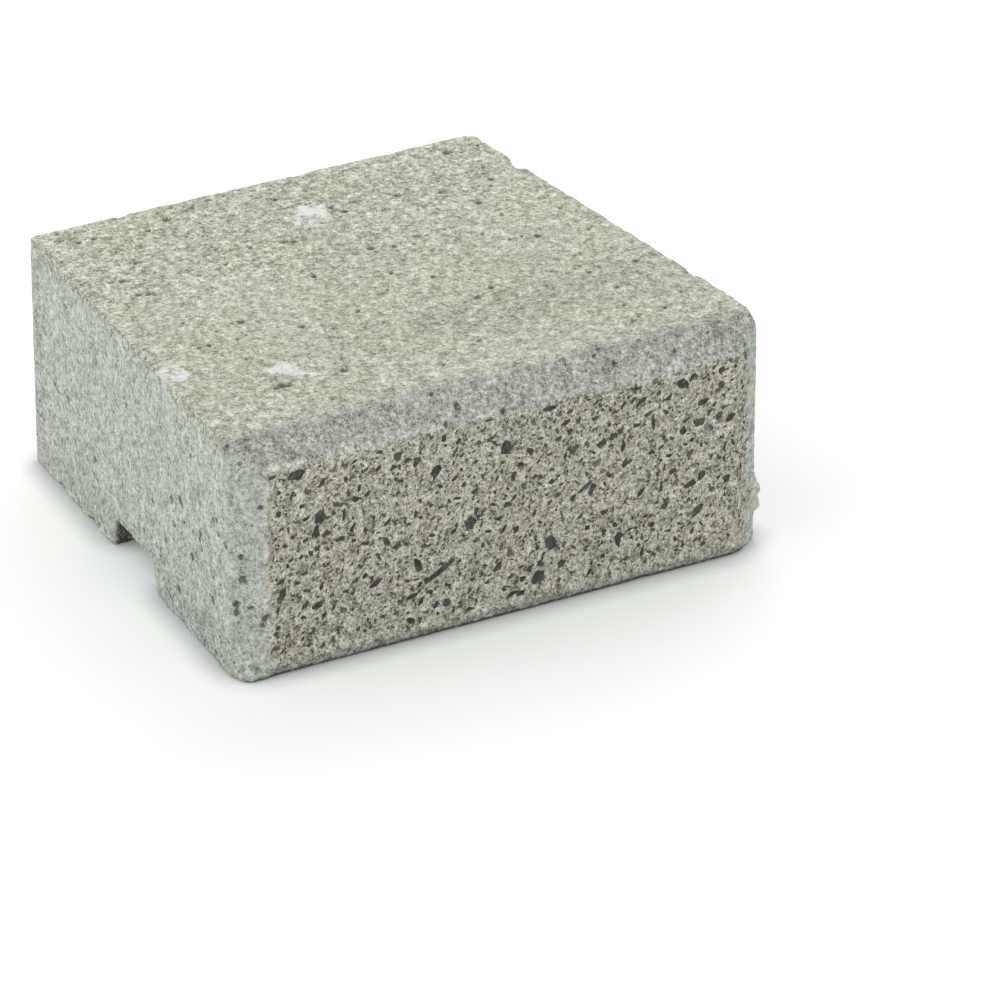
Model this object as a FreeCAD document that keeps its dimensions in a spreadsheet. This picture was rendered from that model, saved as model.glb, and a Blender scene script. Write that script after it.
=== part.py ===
import FreeCAD, Part
import os
import Sketcher

# Concrete wall cap: one solid casting that closes the top course of a garden wall.
# Frame in millimetres, +Z up. The origin is under the middle of the block, on the floor.
# X runs along the wall, the exposed face looks towards -Y, and Y runs through the wall.

SIZES = [
    # Overall block
    ("front_width", 234, "overall width, at the exposed end"),
    ("back_width", 202, "width at the back, so that caps can follow a curved wall"),
    ("depth", 210, "exposed face to back"),
    ("height", 100, "bed to top"),
    # Upright chamfers at both ends of the exposed face
    ("corner_across", 12.5, "chamfer, measured along the exposed face"),
    ("corner_back", 9, "chamfer, measured along the side"),
    # Bevels along the top and the foot of the exposed face
    ("bevel_back", 11, "top bevel, measured back along the top"),
    ("bevel_down", 12.5, "top bevel, measured down the face"),
    ("foot_back", 1, "foot bevel, measured back along the bed"),
    ("foot_up", 4, "foot bevel, measured up the face"),
    # Groove across the bed, which seats on the tongue of the course below
    ("groove_mouth", 44, "groove width at the bed"),
    ("groove_roof", 40, "groove width at its roof"),
    ("groove_depth", 13, "groove height above the bed"),
    ("groove_offset", 0, "groove centre, measured back from the middle of the block"),
    # Rounds that the mould and handling leave on the edges
    ("top_round", 1.5, "round on the side and back edges of the top"),
    ("back_round", 2, "round on the two upright back edges"),
]

OVERCUT = 5    # how far a cutting outline runs out past the block

doc = FreeCAD.newDocument("wall_cap")


def make_sheet():
    """Put every driving size in the spreadsheet, one aliased row each."""
    sheet = doc.addObject("Spreadsheet::Sheet", "sizes")
    for row, (name, value, note) in enumerate(SIZES, start=1):
        sheet.set(f"A{row}", name)
        sheet.set(f"B{row}", str(value))
        sheet.setAlias(f"B{row}", name)
        sheet.set(f"C{row}", note)
    sheet.set(f"A{len(SIZES) + 1}", "overcut")
    sheet.set(f"B{len(SIZES) + 1}", str(OVERCUT))
    sheet.setAlias(f"B{len(SIZES) + 1}", "overcut")
    doc.recompute()
    return sheet


def origin_plane(body, role):
    """Return the body's own origin plane with this role, such as XY_Plane."""
    return next(item for item in body.Origin.OriginFeatures if item.Role == role)


def new_sketch(body, name, role):
    """Start a sketch flat on one of the body's origin planes."""
    sketch = body.newObject("Sketcher::SketchObject", name)
    sketch.AttachmentSupport = [(origin_plane(body, role), "")]
    sketch.MapMode = "FlatFace"
    return sketch


def closed_outline(sketch, corners):
    """Draw a closed polygon. Each corner is two expressions, its across and its up.

    Every corner is held by two dimensions from the sketch origin, bound to the sheet.
    """
    values = [(sheet_value(across), sheet_value(up)) for across, up in corners]
    points = [FreeCAD.Vector(across, up, 0) for across, up in values]
    first = sketch.GeometryCount
    for start, end in zip(points, points[1:] + points[:1]):
        sketch.addGeometry(Part.LineSegment(start, end), False)
    count = len(corners)
    for side in range(count):
        following = first + (side + 1) % count
        sketch.addConstraint(Sketcher.Constraint("Coincident", first + side, 2, following, 1))
    for side, (corner, value) in enumerate(zip(corners, values)):
        for kind, expression, number in zip(("DistanceX", "DistanceY"), corner, value):
            hold = Sketcher.Constraint(kind, -1, 1, first + side, 1, number)
            index = sketch.addConstraint(hold)
            sketch.setExpression(f"Constraints[{index}]", expression)


def sheet_value(expression):
    """Work out an expression over the sheet's names as a plain number."""
    result = sheet.evalExpression(expression)
    return float(getattr(result, "Value", result))


def add_pad(body, sketch, name):
    """Raise the plan outline to the block's height."""
    pad = body.newObject("PartDesign::Pad", name)
    pad.Profile = sketch
    pad.setExpression("Length", "sizes.height")
    sketch.Visibility = False
    doc.recompute()
    return pad


def add_cut(body, sketch, name):
    """Cut a section right across the block, both ways from its middle plane."""
    before = body.Shape.Volume
    pocket = body.newObject("PartDesign::Pocket", name)
    pocket.Profile = sketch
    pocket.Type = "Length"
    pocket.Midplane = True
    pocket.setExpression("Length", "sizes.front_width + 2 * sizes.overcut")
    sketch.Visibility = False
    doc.recompute()
    if not body.Shape.Volume < before:
        raise RuntimeError(f"{name} removed nothing")
    return pocket


def add_round(body, name, size, wanted):
    """Round every edge of the body for which wanted(middle, direction) is true."""
    base = body.Tip
    names = []
    for number, edge in enumerate(base.Shape.Edges, start=1):
        ends = edge.Vertexes
        run = ends[-1].Point - ends[0].Point
        middle = (ends[-1].Point + ends[0].Point) * 0.5
        if run.Length > 0 and wanted(middle, run.normalize()):
            names.append(f"Edge{number}")
    fillet = body.newObject("PartDesign::Fillet", name)
    fillet.Base = (base, names)
    fillet.setExpression("Radius", size)
    doc.recompute()
    return fillet


def make_wall_cap():
    """Build the casting: plan, bed groove, face bevels, then rounded edges."""
    body = doc.addObject("PartDesign::Body", "wall_cap")
    body.Label = "wall_cap"

    # Plan: tapers to the back, with both ends of the exposed face chamfered
    front = "-sizes.depth / 2"
    back = "sizes.depth / 2"
    shoulder = "-sizes.depth / 2 + sizes.corner_back"
    face_end = "(sizes.front_width / 2 - sizes.corner_across)"
    plan = new_sketch(body, "plan", "XY_Plane")
    closed_outline(plan, [
        (f"-{face_end}", front),
        (face_end, front),
        ("sizes.front_width / 2", shoulder),
        ("sizes.back_width / 2", back),
        ("-sizes.back_width / 2", back),
        ("-sizes.front_width / 2", shoulder),
    ])
    add_pad(body, plan, "block")

    # Groove: open at both sides and at the bed, a little narrower at its roof
    groove = new_sketch(body, "groove_section", "YZ_Plane")
    closed_outline(groove, [
        ("sizes.groove_offset - sizes.groove_mouth / 2", "0"),
        ("sizes.groove_offset - sizes.groove_roof / 2", "sizes.groove_depth"),
        ("sizes.groove_offset + sizes.groove_roof / 2", "sizes.groove_depth"),
        ("sizes.groove_offset + sizes.groove_mouth / 2", "0"),
    ])
    add_cut(body, groove, "groove")

    # Bevels: one along the top of the exposed face, a slight one along its foot
    bevel = new_sketch(body, "top_bevel_section", "YZ_Plane")
    closed_outline(bevel, [
        (front, "sizes.height - sizes.bevel_down"),
        (f"{front} + sizes.bevel_back", "sizes.height"),
        (front, "sizes.height"),
    ])
    add_cut(body, bevel, "top_bevel")
    foot = new_sketch(body, "foot_bevel_section", "YZ_Plane")
    closed_outline(foot, [
        (front, "0"),
        (f"{front} + sizes.foot_back", "0"),
        (front, "sizes.foot_up"),
    ])
    add_cut(body, foot, "foot_bevel")

    # Rounds: the upright back edges, then the side and back edges of the top
    back_y = sheet_value(back)
    top_z = sheet_value("sizes.height")
    near = 0.01
    add_round(body, "back_edges", "sizes.back_round",
              lambda middle, run: abs(run.z) > 1 - near and abs(middle.y - back_y) < near)
    add_round(body, "top_edges", "sizes.top_round",
              lambda middle, run: abs(middle.z - top_z) < near
              and middle.y > sheet_value(f"{front} + sizes.bevel_back") + near)
    body.Placement = FreeCAD.Placement()
    return body


def check(body):
    """Stop if any object of the document failed or the casting isn't one valid solid."""
    doc.recompute()
    for item in doc.Objects:
        if "Invalid" in item.State or "Error" in item.State:
            raise RuntimeError(f"{item.Name} is in state {item.State}")
    if body.Shape.isNull() or not body.Shape.isValid() or len(body.Shape.Solids) != 1:
        raise RuntimeError(f"{body.Label} isn't one valid solid")


sheet = make_sheet()
wall_cap = make_wall_cap()
check(wall_cap)

os.makedirs("parts", exist_ok=True)
wall_cap.Shape.exportStep(f"parts/{wall_cap.Label}.step")
box = wall_cap.Shape.BoundBox
print(f"{wall_cap.Label}: {box.XLength:.2f} x {box.YLength:.2f} x {box.ZLength:.2f} mm,"
      f" {wall_cap.Shape.Volume / 1000:.1f} cm3")
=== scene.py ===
import math

import bpy
import numpy as np
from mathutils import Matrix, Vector, noise


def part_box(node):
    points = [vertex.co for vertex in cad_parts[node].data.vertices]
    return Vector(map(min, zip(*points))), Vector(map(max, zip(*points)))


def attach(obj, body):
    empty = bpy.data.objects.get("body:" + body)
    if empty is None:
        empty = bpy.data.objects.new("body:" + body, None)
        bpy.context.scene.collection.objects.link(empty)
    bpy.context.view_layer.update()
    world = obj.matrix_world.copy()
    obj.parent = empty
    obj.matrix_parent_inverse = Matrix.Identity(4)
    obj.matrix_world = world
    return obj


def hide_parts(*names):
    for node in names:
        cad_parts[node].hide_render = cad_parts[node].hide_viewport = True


# Looks of the concrete wall cap. Lengths in this file are millimetres, turned to metres by MM
# where they meet Blender. X runs along the wall, the exposed face looks towards -Y, Z is up.

MM = 0.001
SEED = 20

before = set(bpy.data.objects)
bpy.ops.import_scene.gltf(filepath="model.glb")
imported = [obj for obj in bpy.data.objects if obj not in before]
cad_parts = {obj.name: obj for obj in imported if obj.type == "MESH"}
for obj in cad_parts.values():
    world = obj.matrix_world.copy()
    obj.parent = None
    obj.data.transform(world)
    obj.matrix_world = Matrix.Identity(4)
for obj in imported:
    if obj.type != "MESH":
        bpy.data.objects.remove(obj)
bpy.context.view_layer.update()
NODE = "wall_cap"
LOW, HIGH = (np.array(corner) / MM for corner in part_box(NODE))
HALF_FRONT = HIGH[0]
FRONT, BACK, TOP = LOW[1], HIGH[1], HIGH[2]

# The casting's own features, the same sizes as its CAD source
HALF_BACK = 101.0
CORNER_ACROSS, CORNER_BACK = 12.5, 9.0
BEVEL_BACK, BEVEL_DOWN = 11.0, 12.5
FOOT_BACK, FOOT_UP = 1.0, 4.0
GROOVE_HALF, GROOVE_DEPTH = 22.0, 13.0
SHOULDER = FRONT + CORNER_BACK
FACE_HALF = HALF_FRONT - CORNER_ACROSS
CORNER_RUN = math.hypot(CORNER_ACROSS, CORNER_BACK)
FACE_LOW, FACE_HIGH = FOOT_UP, TOP - BEVEL_DOWN

GRID = 1.4          # cell of the casting's mesh
WASH_DEPTH = 0.7    # how far the exposed face is washed back behind the cement skin
WASH_TURN = 8.5     # how far the washing runs on round the right corner
SKIN_PITS = 340     # seeded air holes all over the skin
CORNER_PITS = 50    # more of them, low on the left front corner
CONTACT_SHADE = 12.0    # reach of the dark line where the block meets the floor

# The casting's outer planes, as columns of plane_distances
(TOP_PLANE, BED_PLANE, FACE_PLANE, BACK_PLANE,
 SIDE_PLANE, CORNER_PLANE, BEVEL_PLANE, FOOT_PLANE) = range(8)


# ---------------------------------------------------------------- listed features

# Dark stones that stand out in the exposed face: across, up, length, width, lean in degrees.
# Each is built longer and wider than listed, by these shares
STONE_LONGER, STONE_WIDER = 1.15, 1.2
FACE_STONES = [
    (-91, 84, 6.5, 5.0, 10), (-81, 63, 6.5, 5.0, 60), (-83, 57, 6.0, 2.4, 80), (-78, 56, 4.5, 4.0, 20),
    (-104, 63, 5.5, 2.2, 80), (-66, 67, 4.5, 2.5, 20), (-55, 85, 4.5, 1.8, 0), (-48, 81, 4.5, 3.0, 40),
    (-50, 77, 3.5, 2.6, 10), (-40, 77, 4.6, 3.6, 75), (-57, 72, 3.4, 2.0, 10), (-46, 70, 3.2, 1.6, 0),
    (-31, 70, 6.4, 4.8, 60), (-52, 54, 4.5, 1.7, 50), (-53, 46, 4.4, 2.6, 115), (-48, 42, 3.8, 2.4, 0),
    (-16, 44, 6.4, 5.6, 10), (-57, 29, 6.2, 2.6, 35), (-83, 26, 5.6, 2.6, 15), (-39, 32, 6.2, 2.8, 105),
    (-28.5, 27.5, 13, 2.4, 30), (-43, 8, 4.2, 3.2, 30), (-26, 12, 3.4, 3.0, 0), (-66, 10, 4.2, 1.6, 35),
    (-42, 19, 5.4, 1.8, 15), (-98, 34, 5.8, 2.6, 60), (-102, 86, 3.8, 2.8, 0), (-80, 78, 5.0, 2.2, 80),
    (-70, 77, 3.4, 1.6, 85), (-71, 61, 7.0, 1.5, 88), (-72, 37, 6.0, 1.5, 85), (-21, 81, 3.4, 2.2, 30),
    (0, 74, 7.4, 4.4, 80), (-7, 87, 5.6, 1.8, 5), (3, 60, 5.2, 2.0, 80), (4, 36, 5.4, 4.2, 20),
    (-4, 22, 5.2, 3.8, 30), (-1, 38, 4.2, 1.6, 60), (20, 27, 7.2, 4.4, 85), (14, 13, 6.0, 4.2, 20),
    (4, 8, 8.0, 3.2, 10), (-17, 7, 5.6, 1.8, 5), (25, 16, 4.8, 3.0, 20), (15, 19, 3.6, 1.8, 70),
    (35, 47, 6.4, 2.0, 32), (38, 45, 5.8, 2.6, 70), (42, 64, 5.0, 3.2, 35), (48, 66, 4.6, 3.4, 20),
    (19, 85, 4.8, 1.8, 0), (26, 77, 5.0, 2.8, 15), (23, 71, 3.0, 2.2, 20), (31, 65, 3.4, 1.8, 30),
    (20, 53, 2.8, 2.2, 0), (53, 53, 4.0, 2.8, 70), (52, 61, 4.4, 1.8, 85), (50, 20, 9.4, 3.0, 88),
    (37, 9, 4.2, 1.6, 70), (36, 29, 4.6, 2.0, 40), (61, 12, 4.2, 1.6, 70), (80, 11, 3.6, 3.0, 10),
    (86, 24, 7.6, 2.4, 42), (93, 26, 5.8, 2.2, 40), (78, 81, 6.2, 4.0, 0), (83, 83, 4.0, 2.0, 40),
    (65.5, 68, 11, 1.5, 88), (72, 77, 4.4, 2.6, 50), (63, 72, 6.0, 2.0, 10), (60, 78, 4.6, 1.8, 30),
    (79, 61, 3.6, 3.2, 80), (88, 71, 5.4, 3.0, 15), (86, 63, 4.4, 3.4, 10), (100, 61, 3.8, 2.6, 30),
    (99, 35, 3.8, 2.8, 60), (107, 38, 4.0, 2.8, 75), (83, 36, 5.6, 2.6, 10), (88, 39, 4.2, 2.8, 60),
    (97, 83, 4.6, 2.0, 5), (58, 84, 5.8, 1.8, 5), (71, 30, 3.4, 2.6, 0), (60, 38, 4.8, 2.0, 60),
    (93, 47, 4.4, 2.2, 50), (98, 49, 3.6, 1.6, 80), (69, 56, 4.2, 1.7, 40), (10, 44, 3.0, 2.0, 60),
]

# Pits in the cement skin: centre (across, back, up), radius, depth
PITS = [
    (-75, -62, 100, 2.4, 1.6), (-78, -63, 100, 1.8, 1.2), (-72, -63, 100, 1.8, 1.4),
    (-48, -62, 100, 2.2, 1.4), (-63, -5, 100, 2.2, 1.4), (-87, 36, 100, 1.9, 1.3),
    (-83, 35, 100, 1.9, 1.3), (-87, 50, 100, 2.0, 1.1), (-14, 51, 100, 1.9, 1.4),
    (-11, 49, 100, 1.8, 1.2), (-19, 17, 100, 1.7, 1.5), (-14, 14, 100, 1.4, 1.0),
    (13, 29, 100, 2.6, 1.2), (35, 30, 100, 2.0, 1.2), (30, 24, 100, 1.8, 1.0),
    (71, 45, 100, 2.0, 1.5), (83, 93, 100, 2.8, 1.2), (46, 67, 100, 2.2, 1.4),
    (52, 70, 100, 1.8, 1.0), (62, 61, 100, 1.8, 1.3), (20, 64, 100, 2.0, 1.3),
    (17, 70, 100, 1.8, 1.2), (86, 62, 100, 2.2, 1.0), (-46, 92, 100, 2.4, 1.2),
    (-57, 86, 100, 1.6, 1.2), (-32, 97, 100, 1.8, 1.0), (75, 82, 100, 1.6, 1.3),
    (97, 2, 100, 1.6, 1.0), (28, -31, 100, 2.2, 0.9), (22, -6, 100, 1.8, 1.0),
    (-34, -28, 100, 2.4, 0.7), (10, -65, 100, 1.6, 1.3), (-12, -76, 100, 1.5, 1.0),
    (-85, -88, 100, 1.9, 0.9), (71, -79, 100, 1.8, 1.2), (-117, -96, 99, 2.6, 1.8),
    (-113, -100, 92, 1.8, 1.2), (101, -104, 93, 1.8, 1.1), (108, -102, 90, 1.6, 1.1),
    (-114, -60, 78, 1.7, 1.1), (-109, 5, 70, 1.7, 0.9), (-107, 25, 83, 1.7, 0.9),
    (-112, -42, 40, 1.7, 1.1), (-106, 40, 30, 2.0, 1.0), (-110, -10, 22, 1.9, 1.0),
    (-115, -80, 25, 1.7, 1.1), (-111, -99, 30, 1.8, 1.1), (-113, -99, 52, 1.7, 1.1),
]

# White lime bloom: centre, radius, strength
LIME = [
    (8, 71, 100, 9.5, 1.35), (2, 61, 100, 7.0, 0.5), (-67, -51, 100, 8.5, 1.2),
    (-62, -57, 100, 5.0, 0.6), (-110, 9, 97, 11.0, 0.7), (-107, -32, 100, 10.0, 0.9),
    (-104, -37, 100, 3.5, 0.5), (54, 55, 100, 9.0, 0.35), (-26, 71, 100, 3.5, 0.5),
    (-46, 77, 100, 9.0, 0.3), (-18, 89, 100, 4.0, 0.3), (49, -26, 100, 5.0, 0.25),
    (72, -83, 99, 4.0, 0.35), (-99, -87, 100, 9.0, 0.40), (78, -103, 89, 4.6, 1.0),
    (-64, -101, 93, 4.0, 0.2), (12, 66, 100, 2.6, 1.0), (-72, -49, 100, 2.6, 1.0),
    (-60, -60, 100, 2.4, 0.9), (-57, -52, 100, 2.2, 0.9), (0, 76, 100, 2.4, 0.8), (16, 74, 100, 2.2, 0.8),
    (90, 15, 100, 8.0, 0.2), (-112, -55, 60, 8.0, 0.2),
]

# Darker or paler cloudy zones: centre, reach across, back and up, strength (minus is darker)
CLOUDS = [
    (45, -42, 100, 70, 17, 30, -0.16), (-25, -45, 100, 45, 12, 30, -0.07),
    (35, -84, 100, 75, 8, 8, 0.07), (-55, 80, 100, 45, 10, 20, -0.06),
    (24, 76, 100, 24, 16, 20, -0.13), (-8, 55, 100, 22, 8, 20, -0.07),
    (52, 95, 100, 12, 8, 20, 0.06), (-60, 15, 100, 40, 20, 20, 0.04),
    # These two low zones on the left side darken it towards the floor: partly grime, partly painted shade
    (-112, -60, 8, 20, 60, 14, -0.16), (-106, 40, 10, 20, 60, 12, -0.12),
    (-102, 100, 40, 12, 10, 60, -0.08), (-90, -62, 100, 22, 9, 20, -0.08),
    (-113, -96, 100, 14, 9, 12, -0.14), (104, -100, 98, 12, 12, 12, -0.10),
    (-60, -91, 100, 60, 7, 8, -0.08), (45, -92, 100, 75, 6, 8, -0.09), (95, -60, 100, 16, 30, 10, -0.05),
]

# Patches where fine cement lies smooth and cool grey on the top: same columns as the clouds
SMOOTH_PATCHES = [
    (66, -88, 100, 46, 10, 20, 0.62), (20, -80, 100, 34, 8, 20, 0.35), (-72, -90, 100, 30, 8, 20, 0.40),
    (40, -48, 100, 50, 9, 20, 0.25), (-20, -92, 100, 30, 6, 20, 0.30), (0, -95, 100, 130, 5, 20, 0.40),
]

# Places where an edge has broken away or swollen out: centre, radius, depth (minus swells)
BREAKS = [
    (104, 70, 101, 6.0, 2.6), (104, 88, 101, 3.0, 0.8), (106, 46, 101, 4.0, 0.8),
    (110, -5, 101, 4.0, 0.7), (113, -54, 101, 4.0, 1.0), (-117, -97, 101, 4.0, 1.4),
    (117, -98, 101, 7.0, 2.0), (101, 105, 101, 5.0, 1.0), (101, 96, 101, 3.0, 0.8),
    (-60, 105, 101, 5.0, 0.5), (20, 105, 101, 6.0, 0.5), (62, 105, 101, 5.0, 0.7),
    (-106, 45, 0, 4.5, 1.6), (-103, 78, 0, 6.0, 0.9), (-109, 20, 12, 3.5, 0.9),
    (-111, -24, 0, 3.0, 1.0), (-113, -50, 0, 5.0, 0.7), (-115, -76, 0, 4.0, 0.6),
    (115, -97.5, 17, 4.8, -4.0), (115, -97.5, 24, 4.8, -4.2), (113, -100, 8, 5.0, 1.2),
    (106, -104, 0, 4.0, 1.0),
    (-111, -101, 2, 7.5, -5.0), (60, -105, 0, 7.0, 0.4), (-30, -105, 0, 7.0, 0.4),
]


# ---------------------------------------------------------------- shape of the casting

def smooth_step(low, high, value):
    """0 below low, 1 above high, and a smooth rise between."""
    share = np.clip((value - low) / (high - low), 0, 1)
    return share * share * (3 - 2 * share)


def half_width(back):
    """Half the block's width at a distance back, on its tapering sides."""
    share = (back - SHOULDER) / (BACK - SHOULDER)
    return HALF_FRONT + (HALF_BACK - HALF_FRONT) * share


def plane_distances(points):
    """How far each point lies inside each of the casting's outer planes, one column a plane."""
    across, back, up = np.abs(points[:, 0]), points[:, 1], points[:, 2]
    taper = math.cos(math.atan((HALF_FRONT - HALF_BACK) / (BACK - SHOULDER)))
    bevel_run = math.hypot(BEVEL_BACK, BEVEL_DOWN)
    foot_run = math.hypot(FOOT_BACK, FOOT_UP)
    return np.stack([
        TOP - up,
        up - LOW[2],
        back - FRONT,
        BACK - back,
        (half_width(back) - across) * taper,
        ((FACE_HALF - across) * CORNER_BACK + (back - FRONT) * CORNER_ACROSS) / CORNER_RUN,
        ((back - FRONT) * BEVEL_DOWN + (FACE_HIGH - up) * BEVEL_BACK) / bevel_run,
        ((back - FRONT) * FOOT_UP + (up - FOOT_UP) * FOOT_BACK) / foot_run,
    ], axis=1)


def grain(points, size, octaves, offset=0.0):
    """Fractal noise about -1 to 1 at each point, with lumps of this size."""
    shifted = points / size + offset
    return np.array([noise.fractal(Vector(p), 1.0, 2.0, octaves) for p in shifted])


def dents(points, table):
    """Add up round dents, each a centre, a radius and a depth along the surface normal."""
    total = np.zeros(len(points))
    for *centre, radius, depth in table:
        gap = np.linalg.norm(points - centre, axis=1) / radius
        near = gap < 2.2
        total[near] += depth * np.exp(-2.2 * gap[near] ** 2)
    return total


def clouds(points, table):
    """Soft patches, each a centre, a reach along each axis and a strength, added up."""
    total = np.zeros(len(points))
    for *centre_and_reach, strength in table:
        centre, reach = np.array(centre_and_reach[:3]), np.array(centre_and_reach[3:])
        gap = np.linalg.norm((points - centre) / reach, axis=1)
        total += strength * np.exp(-1.4 * gap ** 2)
    return total


def random_pits(points, count, rng):
    """Small air holes at seeded places anywhere on the surface."""
    centres = points[rng.integers(0, len(points), count)]
    radii = rng.uniform(1.0, 1.9, count)
    depths = rng.uniform(0.3, 1.6, count) * (radii / 1.6)
    return [(*centre, radius, depth) for centre, radius, depth in zip(centres, radii, depths)]


def remeshed_node():
    """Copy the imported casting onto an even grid, fine enough to carry relief."""
    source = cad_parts[NODE]
    rough = bpy.data.objects.new("grid_source", source.data.copy())
    bpy.context.scene.collection.objects.link(rough)
    remesh = rough.modifiers.new("grid", "REMESH")
    remesh.mode = "VOXEL"
    remesh.voxel_size = GRID * MM
    view_layer = bpy.context.evaluated_depsgraph_get()
    mesh = bpy.data.meshes.new_from_object(rough.evaluated_get(view_layer))
    bpy.data.objects.remove(rough)
    return mesh


def set_attribute(mesh, name, values):
    """Store one number a vertex for the material to read."""
    layer = mesh.attributes.new(name, "FLOAT", "POINT")
    layer.data.foreach_set("value", np.asarray(values, dtype=np.float32))


def washed_masks(points, planes):
    """Two masks: the face washed down to its stones, and the pale lip of skin that frames it."""
    wander = 1.1 * grain(points, 7.0, 4, 31.0)
    right_end = FACE_HALF + WASH_TURN * CORNER_ACROSS / CORNER_RUN
    inset = np.minimum.reduce([
        FACE_HALF - 0.3 + points[:, 0],
        right_end - points[:, 0],
        points[:, 2] - FACE_LOW - 0.2,
        FACE_HIGH + 0.4 - points[:, 2],
    ]) + wander
    face_or_corner = planes[:, [FACE_PLANE, CORNER_PLANE]].min(axis=1)
    outer = np.where(points[:, 0] > 0, face_or_corner, planes[:, FACE_PLANE])
    washed = smooth_step(-0.8, 1.2, inset) * smooth_step(2.0, 1.2, outer)
    above_foot = smooth_step(FACE_LOW + 2, FACE_LOW + 12, points[:, 2])
    broken = np.clip(0.70 + 1.1 * grain(points, 9.0, 3, 47.0), 0, 1)
    broken *= 0.45 + 0.55 * smooth_step(10, -40, points[:, 0])
    lip = np.exp(-((inset + 0.6) / 0.7) ** 2) * smooth_step(3.5, 2.0, outer) * above_foot * broken
    return washed, lip


def make_casting():
    """The block itself: grid, worn edges, sandy relief, pits, and the masks for tone and painted shade."""
    mesh = remeshed_node()
    mesh.name = "casting"
    count = len(mesh.vertices)
    points = np.empty(count * 3)
    mesh.vertices.foreach_get("co", points)
    points = points.reshape(-1, 3) / MM
    normals = np.empty(count * 3)
    mesh.vertex_normals.foreach_get("vector", normals)
    normals = normals.reshape(-1, 3)

    planes = plane_distances(points)
    edge = np.sort(planes, axis=1)[:, 1]    # the second nearest plane is near only at an edge
    washed, lip = washed_masks(points, planes)
    lump = grain(points, 26.0, 2)
    sand = grain(points, 5.0, 3, 11.0)
    grit = grain(points, 2.6, 2, 17.0)

    # Depth is measured inwards along the normal, and is nearly always a loss of material
    depth = 0.12 + 0.12 * lump + 0.14 * sand + 0.16 * np.abs(grit)
    depth -= 0.40 * smooth_step(1.5, 0.2, edge)    # the grid cuts the arrises, so they are drawn back out
    depth += washed * (WASH_DEPTH + 0.30 * sand + 0.34 * np.abs(grit))
    ragged = np.clip(0.1 + 0.9 * grain(points, 3.4, 3, 5.0), 0, 2)
    depth += 0.26 * ragged * smooth_step(2.4, 0.2, edge)
    depth += 0.9 * np.exp(-((planes[:, TOP_PLANE] + planes[:, BEVEL_PLANE]) / 3.2) ** 2)
    groove_rim = np.hypot(np.abs(points[:, 1]) - GROOVE_HALF, points[:, 2])
    depth += 0.5 * ragged * smooth_step(3.0, 0.5, groove_rim)
    rng = np.random.default_rng(SEED)
    holes = PITS + random_pits(points, SKIN_PITS, rng)
    low_corner = points[(points[:, 0] < -100) & (points[:, 1] < -20) & (points[:, 2] < 62)]
    holes += random_pits(low_corner, CORNER_PITS, rng)
    pits = (1 - washed) * dents(points, holes)
    depth += pits + dents(points, BREAKS)

    moved = points - normals * depth[:, None]
    moved = np.clip(moved, LOW, HIGH)
    mesh.vertices.foreach_set("co", (moved * MM).ravel())

    smooth_skin = smooth_step(2.6, 0.2, planes[:, CORNER_PLANE:].min(axis=1))
    smooth_skin = np.clip(smooth_skin + clouds(points, SMOOTH_PATCHES), 0, 1) * (1 - washed)
    set_attribute(mesh, "washed", washed)
    set_attribute(mesh, "smooth_skin", smooth_skin)
    set_attribute(mesh, "lime", np.clip(dents(points, LIME), 0, 1))
    # Painted shade: the lowest two millimetres by the foot are darkened where the block meets the floor
    painted_contact_shade = 0.75 * smooth_step(1.9, 0.7, points[:, 2]) * smooth_step(4.0, 2.0, planes[:, FOOT_PLANE])
    # Painted shade on the foot bevel, which faces down and away from the light
    painted_foot_shade = 0.20 * smooth_step(1.6, 0.6, planes[:, FOOT_PLANE]) * smooth_step(5.5, 3.0, points[:, 2])
    # Painted shade inside the groove, darkening its walls and ceiling
    inside = smooth_step(2.0, 0.5, np.abs(points[:, 1]) - GROOVE_HALF)
    inside *= smooth_step(0.4, 3.0, planes[:, SIDE_PLANE])
    painted_groove_shade = 0.70 * inside * smooth_step(GROOVE_DEPTH + 2.0, GROOVE_DEPTH + 1.0, points[:, 2])
    # The cloudy zones and the painted shade above go into one attribute
    set_attribute(mesh, "cloud_and_painted_shade", clouds(points, CLOUDS) - painted_contact_shade - painted_foot_shade - painted_groove_shade)
    side = smooth_step(2.5, 0.5, planes[:, [SIDE_PLANE, CORNER_PLANE]].min(axis=1))
    side *= smooth_step(0, 7, TOP - points[:, 2])
    set_attribute(mesh, "side", side)
    set_attribute(mesh, "lip", lip)
    calm = 0.17 * smooth_step(2.0, 0.5, planes[:, TOP_PLANE]) * smooth_step(45, 5, points[:, 1])
    set_attribute(mesh, "calm", calm)
    set_attribute(mesh, "pit", pits)
    mesh.update()
    mesh.polygons.foreach_set("use_smooth", np.ones(len(mesh.polygons), dtype=bool))

    piece = bpy.data.objects.new("casting", mesh)
    bpy.context.scene.collection.objects.link(piece)
    mesh.materials.clear()
    mesh.materials.append(concrete_material())
    return piece


# ---------------------------------------------------------------- stones in the exposed face

def stone_outline(length, width, lean, rng):
    """Corners of an angular chip, as (across, up) about its own middle."""
    corners = rng.integers(5, 9)
    turns = (np.arange(corners) + rng.uniform(-0.36, 0.36, corners)) * 2 * math.pi / corners
    reach = rng.uniform(0.55, 1.30, corners)
    across = np.cos(turns) * length / 2 * reach
    up = np.sin(turns) * width / 2 * reach
    tilt = math.radians(lean)
    return np.stack([
        across * math.cos(tilt) - up * math.sin(tilt),
        across * math.sin(tilt) + up * math.cos(tilt),
    ], axis=1)


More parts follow.
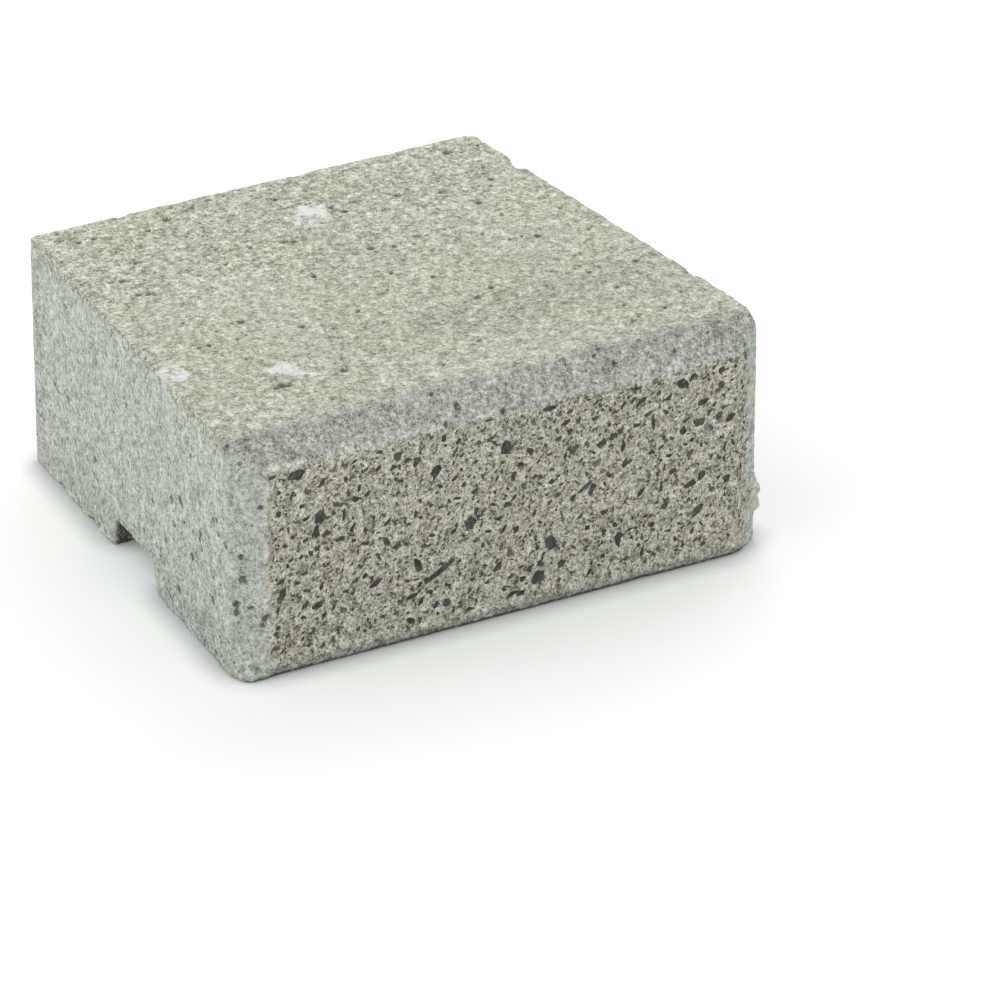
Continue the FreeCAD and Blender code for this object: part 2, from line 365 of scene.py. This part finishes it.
def scatter_stones(rng):
    """Places for every stone: the listed ones, then smaller ones in the gaps."""
    stones = [(x, z, STONE_LONGER * length, STONE_WIDER * width, lean, "dark")
              for x, z, length, width, lean in FACE_STONES]
    placed = np.array([(x, z, length * 0.36 + width * 0.14) for x, z, length, width, _, _ in stones])
    # How many to try, and the shortest and longest of them
    for tries, short, long in ((900, 2.4, 4.6), (2200, 1.5, 2.6), (2200, 0.9, 1.5)):
        for _ in range(tries):
            across = rng.uniform(-FACE_HALF + 0.5, FACE_HALF + WASH_TURN - 1.0)
            up = rng.uniform(FACE_LOW + 1.0, FACE_HIGH - 0.6)
            length = rng.uniform(short, long)
            reach = length * 0.5
            gap = np.hypot(placed[:, 0] - across, placed[:, 1] - up) - placed[:, 2]
            if gap.min() < reach + 0.15:
                continue
            kind = rng.choice(["dark", "brown", "plum", "pale", "ochre"], p=[0.66, 0.17, 0.07, 0.09, 0.01])
            width = length * rng.uniform(0.24, 0.75)
            stones.append((across, up, length, width, rng.normal(45, 42), kind))
            placed = np.vstack([placed, (across, up, reach)])
    return stones


TONE = {"dark": 0.05, "brown": 0.3, "plum": 0.5, "pale": 0.7, "ochre": 0.9}


def on_face(across, level):
    """Turn a place along the washed face, and a depth behind it, into the frame's X and Y."""
    if across <= FACE_HALF:
        return across, FRONT + level
    turn = across - FACE_HALF
    return (FACE_HALF + (turn * CORNER_ACROSS - level * CORNER_BACK) / CORNER_RUN,
            FRONT + (turn * CORNER_BACK + level * CORNER_ACROSS) / CORNER_RUN)


def make_stones():
    """One joined mesh of chips: a facet just proud of the matrix, flanks running back into it."""
    rng = np.random.default_rng(SEED + 1)
    vertices, faces, tones = [], [], []
    for across, up, length, width, lean, kind in scatter_stones(rng):
        outline = stone_outline(length, width, lean, rng)
        corners = len(outline)
        proud = rng.uniform(0.02, 0.22) + 0.02 * length
        surface = WASH_DEPTH + 0.25
        slope = rng.uniform(-0.10, 0.10, 2)
        tone = TONE[kind] + rng.uniform(-0.045, 0.045)
        start = len(vertices)
        # Rings: the facet's rim, the widest line just under it, and the buried end
        for share, level in ((0.86, -proud), (1.0, -proud + 0.22), (0.80, 1.9)):
            for x, z in outline * share:
                lean_in = slope[0] * x + slope[1] * z if level < 1 else 0
                vertices.append((*on_face(across + x, surface + level + lean_in), up + z))
                tones.append(tone)
        # Faces turn so that their normals point out of the stone
        faces.append([start + i for i in range(corners)])
        for ring in (0, 1):
            base = start + ring * corners
            for i in range(corners):
                j = (i + 1) % corners
                faces.append([base + i, base + corners + i, base + corners + j, base + j])
        faces.append([start + 2 * corners + i for i in reversed(range(corners))])
    points = np.array(vertices)
    points[:, 1] = np.maximum(points[:, 1], FRONT + 0.02)
    mesh = bpy.data.meshes.new("face_stones")
    mesh.from_pydata((points * MM).tolist(), [], faces)
    set_attribute(mesh, "tone", tones)
    mesh.update()
    mesh.materials.append(stone_material())
    piece = bpy.data.objects.new("face_stones", mesh)
    bpy.context.scene.collection.objects.link(piece)
    return piece


# ---------------------------------------------------------------- materials

class Nodes:
    """Small helper for writing node trees: each call adds a node and returns an output."""

    def __init__(self, name):
        self.material = bpy.data.materials.new(name)
        self.material.use_nodes = True
        self.tree = self.material.node_tree
        self.shader = self.tree.nodes["Principled BSDF"]
        self.place = self.tree.nodes.new("ShaderNodeTexCoord").outputs["Object"]

    def feed(self, socket, value):
        """Link an output into a socket, or set a plain value on it."""
        if isinstance(value, bpy.types.NodeSocket):
            self.tree.links.new(value, socket)
        else:
            socket.default_value = value

    def attribute(self, name):
        node = self.tree.nodes.new("ShaderNodeAttribute")
        node.attribute_name = name
        return node.outputs["Fac"]

    def noise(self, size, detail=2.0, roughness=0.5):
        """Noise from 0 to 1 with lumps about this many millimetres across."""
        node = self.tree.nodes.new("ShaderNodeTexNoise")
        self.feed(node.inputs["Vector"], self.place)
        node.inputs["Scale"].default_value = 1 / (size * MM)
        node.inputs["Detail"].default_value = detail
        node.inputs["Roughness"].default_value = roughness
        return node.outputs["Fac"]

    def cells(self, size):
        """Distance to the nearest scattered point, and that point's random number."""
        node = self.tree.nodes.new("ShaderNodeTexVoronoi")
        self.feed(node.inputs["Vector"], self.place)
        node.inputs["Scale"].default_value = 1 / (size * MM)
        split = self.tree.nodes.new("ShaderNodeSeparateColor")
        self.tree.links.new(node.outputs["Color"], split.inputs["Color"])
        return node.outputs["Distance"], split.outputs["Red"]

    def math(self, operation, first, second):
        node = self.tree.nodes.new("ShaderNodeMath")
        node.operation = operation
        self.feed(node.inputs[0], first)
        self.feed(node.inputs[1], second)
        return node.outputs["Value"]

    def span(self, value, low, high, to_low=0.0, to_high=1.0):
        """Map a range to another one, clamped, with a smooth rise."""
        node = self.tree.nodes.new("ShaderNodeMapRange")
        node.interpolation_type = "SMOOTHSTEP"
        self.feed(node.inputs["Value"], value)
        for socket, number in zip(("From Min", "From Max", "To Min", "To Max"), (low, high, to_low, to_high)):
            node.inputs[socket].default_value = number
        return node.outputs["Result"]

    def mix(self, share, first, second, blend="MIX"):
        node = self.tree.nodes.new("ShaderNodeMix")
        node.data_type = "RGBA"
        node.blend_type = blend
        self.feed(node.inputs["Factor"], share)
        self.feed(node.inputs["A"], first if isinstance(first, bpy.types.NodeSocket) else (*first, 1))
        self.feed(node.inputs["B"], second if isinstance(second, bpy.types.NodeSocket) else (*second, 1))
        return node.outputs["Result"]

    def scale_color(self, color, factor):
        """Multiply a colour by a number."""
        node = self.tree.nodes.new("ShaderNodeVectorMath")
        node.operation = "SCALE"
        self.tree.links.new(color, node.inputs[0])
        self.feed(node.inputs["Scale"], factor)
        return node.outputs["Vector"]

    def bump(self, height, depth):
        """Fine relief: depth is in millimetres for a height of 1."""
        node = self.tree.nodes.new("ShaderNodeBump")
        node.inputs["Distance"].default_value = depth * MM
        self.tree.links.new(height, node.inputs["Height"])
        self.tree.links.new(node.outputs["Normal"], self.shader.inputs["Normal"])


def concrete_material():
    """Dry-cast concrete: sandy grey skin, tan washed face, lime bloom and small air holes, with painted shade
    in its holes, pits and crevices, in the groove and at the foot.
    """
    n = Nodes("concrete")
    washed, skin, lime = n.attribute("washed"), n.attribute("smooth_skin"), n.attribute("lime")
    cloud_and_painted_shade, side, lip = n.attribute("cloud_and_painted_shade"), n.attribute("side"), n.attribute("lip")
    pit = n.attribute("pit")

    # Broad tone: warm grey on top, cooler and greener on the sides and the smooth cement skin. The sides are
    # also set lighter than the top, partly as painted light for the light falling on the left face.
    drift = n.noise(45, 3, 0.6)
    warm = n.mix(n.span(drift, 0.35, 0.65), (0.463, 0.480, 0.388), (0.473, 0.473, 0.370))
    color = n.mix(side, warm, (0.523, 0.563, 0.484))
    cement = n.mix(side, (0.437, 0.450, 0.397), (0.498, 0.544, 0.472))
    color = n.mix(n.math("MULTIPLY", skin, 0.85), color, cement)
    matrix = n.mix(n.span(n.noise(11, 3, 0.6), 0.42, 0.66), (0.507, 0.511, 0.397), (0.530, 0.495, 0.408))
    color = n.mix(washed, color, matrix)
    patch = n.noise(14, 3, 0.6)
    color = n.mix(n.span(patch, 0.5, 0.75, 0, 0.35), color, (0.395, 0.395, 0.315))

    # Grains: three sizes of sand, each a plus or minus share of the tone
    coarse, medium, fine = n.noise(4.2, 2), n.noise(1.6, 2), n.noise(0.62, 1)
    calm = n.math("ADD", n.math("MULTIPLY", side, 0.20), n.math("MULTIPLY", skin, 0.12))
    calm = n.math("ADD", calm, n.attribute("calm"))
    strength = n.math("SUBTRACT", n.math("ADD", 1.0, n.math("MULTIPLY", washed, 0.12)), calm)
    grains = n.math("ADD", n.math("MULTIPLY", n.math("SUBTRACT", coarse, 0.5), 1.45),
                    n.math("MULTIPLY", n.math("SUBTRACT", medium, 0.5), 2.3))
    grains = n.math("ADD", grains, n.math("MULTIPLY", n.math("SUBTRACT", fine, 0.5), 2.1))
    tone = n.math("ADD", 1.06, n.math("MULTIPLY", grains, strength))
    # Cloudy zones, and the painted shade at the foot, along the floor line and in the groove
    tone = n.math("ADD", tone, cloud_and_painted_shade)
    color = n.mix(n.math("MULTIPLY", lip, 0.9), color, (0.76, 0.76, 0.68))
    color = n.mix(n.span(tone, 1.0, 1.8, 0, 0.6), color, (0.50, 0.51, 0.48))
    color = n.scale_color(color, n.math("MAXIMUM", tone, 0.25))

    # Dark dots, sparse on the skin and thick on the washed face: dark grains, and painted shade in small air
    # holes too fine for the mesh
    gap, pick = n.cells(2.3)
    hole = n.math("MULTIPLY", n.span(gap, 0.30, 0.16), n.span(pick, 0.60, 0.66))
    small_gap, small_pick = n.cells(1.15)
    speck = n.math("MULTIPLY", n.span(small_gap, 0.42, 0.24), n.span(small_pick, 0.62, 0.68))
    hole_share = n.math("MULTIPLY", hole, n.math("ADD", 0.32, n.math("MULTIPLY", washed, 0.3)))
    speck_share = n.math("MULTIPLY", speck, n.math("ADD", 0.22, n.math("MULTIPLY", washed, 0.25)))
    color = n.mix(n.math("MAXIMUM", hole_share, speck_share), color, (0.13, 0.125, 0.095))
    # Painted shade in the crevices between the washed face's stones
    painted_crevice_shade = n.math("MULTIPLY", n.span(n.noise(3.0, 3, 0.65), 0.57, 0.65), washed)
    color = n.mix(n.math("MULTIPLY", painted_crevice_shade, 0.9), color, (0.055, 0.053, 0.040))
    light_speck = n.math("MULTIPLY", n.span(small_gap, 0.40, 0.25), n.span(small_pick, 0.12, 0.07))
    color = n.mix(n.math("MULTIPLY", light_speck, 0.4), color, (0.78, 0.77, 0.70))

    # The modelled pits get painted shade inside, with an edge that the sand breaks up
    painted_pit_shade = n.math("MULTIPLY", pit, n.span(medium, 0.32, 0.60, 0.4, 1.7))
    color = n.mix(n.span(painted_pit_shade, 0.22, 0.80, 0, 0.85), color, (0.09, 0.09, 0.07))

    # Lime bloom: its edge is broken up by the sand
    torn = n.math("ADD", n.math("MULTIPLY", n.math("SUBTRACT", coarse, 0.5), 1.2),
                  n.math("MULTIPLY", n.math("SUBTRACT", medium, 0.5), 1.2))
    bloom = n.span(n.math("ADD", lime, torn), 0.12, 1.10)
    color = n.mix(n.math("MULTIPLY", bloom, 0.85), color, (0.80, 0.84, 0.80))

    n.feed(n.shader.inputs["Base Color"], color)
    n.feed(n.shader.inputs["Roughness"], n.span(medium, 0.2, 0.8, 0.82, 0.98))
    n.shader.inputs["Specular IOR Level"].default_value = 0.25
    height = n.math("ADD", medium, n.math("MULTIPLY", fine, 0.7))
    height = n.math("SUBTRACT", height, n.math("MULTIPLY", n.math("MAXIMUM", hole, speck), 0.5))
    n.bump(height, 0.45)
    return n.material


def stone_material():
    """Crushed stone: mostly green-black, some brown, plum, pale and ochre, with a film of cement."""
    n = Nodes("crushed_stone")
    ramp = n.tree.nodes.new("ShaderNodeValToRGB")
    ramp.color_ramp.interpolation = "CONSTANT"
    colors = [
        (0.0, (0.052, 0.055, 0.046)), (0.2, (0.150, 0.125, 0.095)), (0.4, (0.18, 0.165, 0.165)),
        (0.6, (0.56, 0.54, 0.46)), (0.8, (0.38, 0.30, 0.19)),
    ]
    stops = ramp.color_ramp.elements
    while len(stops) < len(colors):
        stops.new(0.5)
    for stop, (place, color) in zip(stops, colors):
        stop.position = place
        stop.color = (*color, 1)
    tone = n.attribute("tone")
    n.feed(ramp.inputs["Fac"], tone)
    mottle = n.noise(1.2, 3, 0.6)
    own = n.noise(7.0, 1)
    level = n.math("ADD", n.span(mottle, 0.25, 0.75, 0.4, 1.3), n.span(own, 0.35, 0.65, -0.2, 0.6))
    stone = n.scale_color(ramp.outputs["Color"], level)
    film = n.span(n.noise(1.7, 3, 0.6), 0.50, 0.68, 0, 0.28)
    n.feed(n.shader.inputs["Base Color"], n.mix(film, stone, (0.30, 0.30, 0.24)))
    n.feed(n.shader.inputs["Roughness"], n.span(mottle, 0.2, 0.8, 0.55, 0.85))
    n.bump(n.noise(0.9, 3), 0.25)
    return n.material


# ---------------------------------------------------------------- floor, light and camera

def make_floor():
    """A pale floor that keeps the block's soft shadow and shows white elsewhere."""
    bpy.ops.mesh.primitive_plane_add(size=12, location=(0, 0, 0))
    floor = bpy.context.object
    floor.name = "floor"
    n = Nodes("pale_floor")
    tree = n.tree
    n.shader.inputs["Base Color"].default_value = (0.80, 0.82, 0.81, 1)
    n.shader.inputs["Roughness"].default_value = 1.0
    n.shader.inputs["Specular IOR Level"].default_value = 0.0
    shown = tree.nodes.new("ShaderNodeBsdfDiffuse")
    shown.inputs["Color"].default_value = (0.93, 0.845, 0.885, 1)
    glow = tree.nodes.new("ShaderNodeEmission")
    glow.inputs["Color"].default_value = (0.66, 1.0, 0.82, 1)
    glow.inputs["Strength"].default_value = 0.235
    both = tree.nodes.new("ShaderNodeAddShader")
    tree.links.new(shown.outputs[0], both.inputs[0])
    tree.links.new(glow.outputs[0], both.inputs[1])
    # The close shade where the block meets the floor
    nook = tree.nodes.new("ShaderNodeAmbientOcclusion")
    nook.samples = 16
    nook.inputs["Distance"].default_value = CONTACT_SHADE * MM
    close = tree.nodes.new("ShaderNodeEmission")
    close.inputs["Color"].default_value = (0.10, 0.10, 0.10, 1)
    shade = tree.nodes.new("ShaderNodeMixShader")
    tree.links.new(nook.outputs["AO"], shade.inputs["Fac"])
    tree.links.new(close.outputs[0], shade.inputs[1])
    tree.links.new(both.outputs[0], shade.inputs[2])
    path = tree.nodes.new("ShaderNodeLightPath")
    choose = tree.nodes.new("ShaderNodeMixShader")
    tree.links.new(path.outputs["Is Camera Ray"], choose.inputs["Fac"])
    tree.links.new(n.shader.outputs[0], choose.inputs[1])
    tree.links.new(shade.outputs[0], choose.inputs[2])
    tree.links.new(choose.outputs[0], tree.nodes["Material Output"].inputs["Surface"])
    floor.data.materials.append(n.material)


def add_softbox(name, direction, distance, size, power):
    """A square area light that looks at the block from a direction."""
    light = bpy.data.lights.new(name, "AREA")
    light.size = size
    light.energy = power
    lamp = bpy.data.objects.new(name, light)
    toward = Vector(direction).normalized()
    lamp.location = toward * distance
    lamp.rotation_euler = toward.to_track_quat("Z", "Y").to_euler()
    bpy.context.scene.collection.objects.link(lamp)


def make_light():
    """Soft studio light: a white surround, one large softbox high on the left, one behind."""
    world = bpy.data.worlds.new("studio")
    bpy.context.scene.world = world
    world.use_nodes = True
    tree = world.node_tree
    surround = tree.nodes["Background"]
    surround.inputs["Color"].default_value = (1.0, 1.0, 1.0, 1)
    surround.inputs["Strength"].default_value = 0.70
    white = tree.nodes.new("ShaderNodeBackground")
    white.inputs["Strength"].default_value = 1.0
    path = tree.nodes.new("ShaderNodeLightPath")
    seen = tree.nodes.new("ShaderNodeMath")
    seen.operation = "MAXIMUM"
    tree.links.new(path.outputs["Is Camera Ray"], seen.inputs[0])
    tree.links.new(path.outputs["Is Glossy Ray"], seen.inputs[1])
    choose = tree.nodes.new("ShaderNodeMixShader")
    tree.links.new(seen.outputs[0], choose.inputs["Fac"])
    tree.links.new(surround.outputs[0], choose.inputs[1])
    tree.links.new(white.outputs[0], choose.inputs[2])
    tree.links.new(choose.outputs[0], tree.nodes["World Output"].inputs["Surface"])
    add_softbox("key", (-0.60, 0.02, 0.80), 4.0, 3.0, 40.0)
    add_softbox("back", (0.45, 0.65, 0.60), 4.0, 3.0, 51.0)


def make_camera():
    """A long lens from the front left, as such a product picture is taken."""
    azimuth, elevation = math.radians(-29.28), math.radians(27.40)
    distance, lens = 3006.5, 272.9
    aim_right, aim_up = 48.5, -41.75     # the block sits left of and above the middle
    middle = Vector((LOW + HIGH) / 2)
    backward = Vector((
        math.sin(azimuth) * math.cos(elevation),
        -math.cos(azimuth) * math.cos(elevation),
        math.sin(elevation),
    ))
    right = Vector((math.cos(azimuth), math.sin(azimuth), 0))
    upward = backward.cross(right)
    place = middle + backward * distance + right * aim_right + upward * aim_up
    camera = bpy.data.objects.new("camera", bpy.data.cameras.new("camera"))
    camera.data.sensor_fit = "HORIZONTAL"
    camera.data.sensor_width = 36.0
    camera.data.lens = lens
    camera.data.clip_end = 50.0
    camera.location = place * MM
    camera.rotation_euler = backward.to_track_quat("Z", "Y").to_euler()
    bpy.context.scene.collection.objects.link(camera)
    bpy.context.scene.camera = camera


# ---------------------------------------------------------------- the scene

casting = make_casting()
stones = make_stones()
for piece in (casting, stones):
    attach(piece, "root")
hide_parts(NODE)

make_floor()
make_light()
make_camera()
bpy.context.scene.view_settings.view_transform = "Standard"
